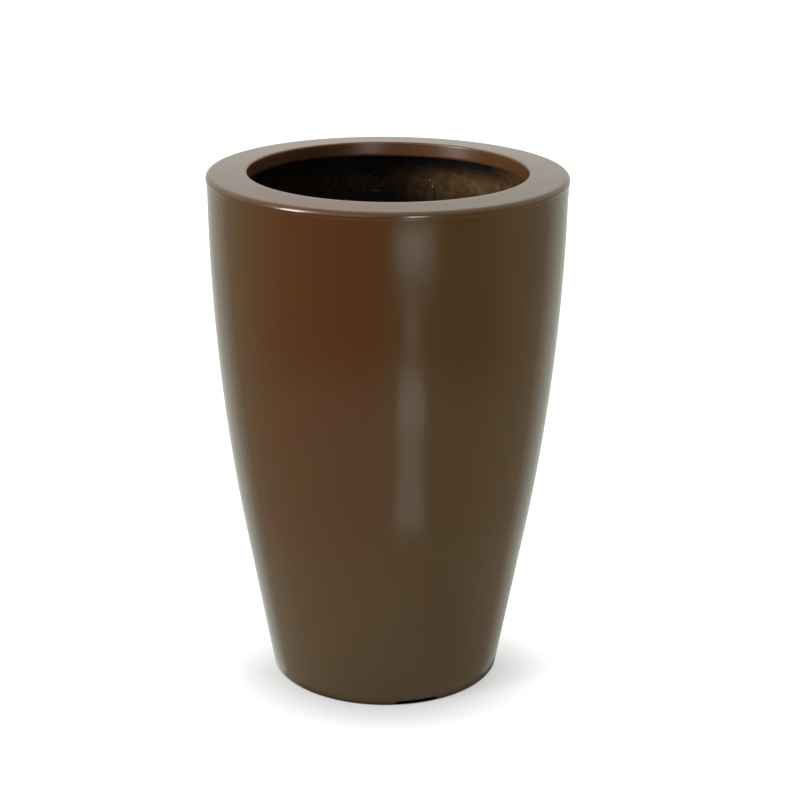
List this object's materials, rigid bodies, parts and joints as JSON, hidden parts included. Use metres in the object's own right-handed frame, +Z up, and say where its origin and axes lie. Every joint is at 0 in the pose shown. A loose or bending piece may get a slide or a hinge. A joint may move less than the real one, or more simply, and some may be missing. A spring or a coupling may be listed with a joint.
{
  "type": "cone planter",
  "caption": "Tall round floor planter: a bowed, tapered fibreglass wall, a flat rim turned inwards, a raised floor and a drain plug that lifts out.",
  "frame": {"origin": "centre of the foot, on the ground", "axes": "+Z up along the axis of the planter; -Y is the front of the picture"},
  "size_m": [0.4079, 0.408, 0.6],
  "materials": {
    "painted_fibreglass": "satin",
    "bare_laminate": "matte",
    "adhesive": "satin",
    "rubber": "matte"
  },
  "bodies": {
    "planter": {"body_shell": "painted_fibreglass", "rim_ring": "painted_fibreglass", "rim_bond_bead": "adhesive", "rim_joint_tape": "bare_laminate", "floor_tray": "bare_laminate", "floor_bond_bead": "adhesive", "floor_joint_tape": "bare_laminate"},
    "plug": {"drain_plug": "rubber"}
  },
  "joints": [
    {"name": "plug_lift", "type": "slide", "parent": "planter", "child": "plug", "axis": [0, 0, 1], "range_m": [0, 0.06]}
  ]
}
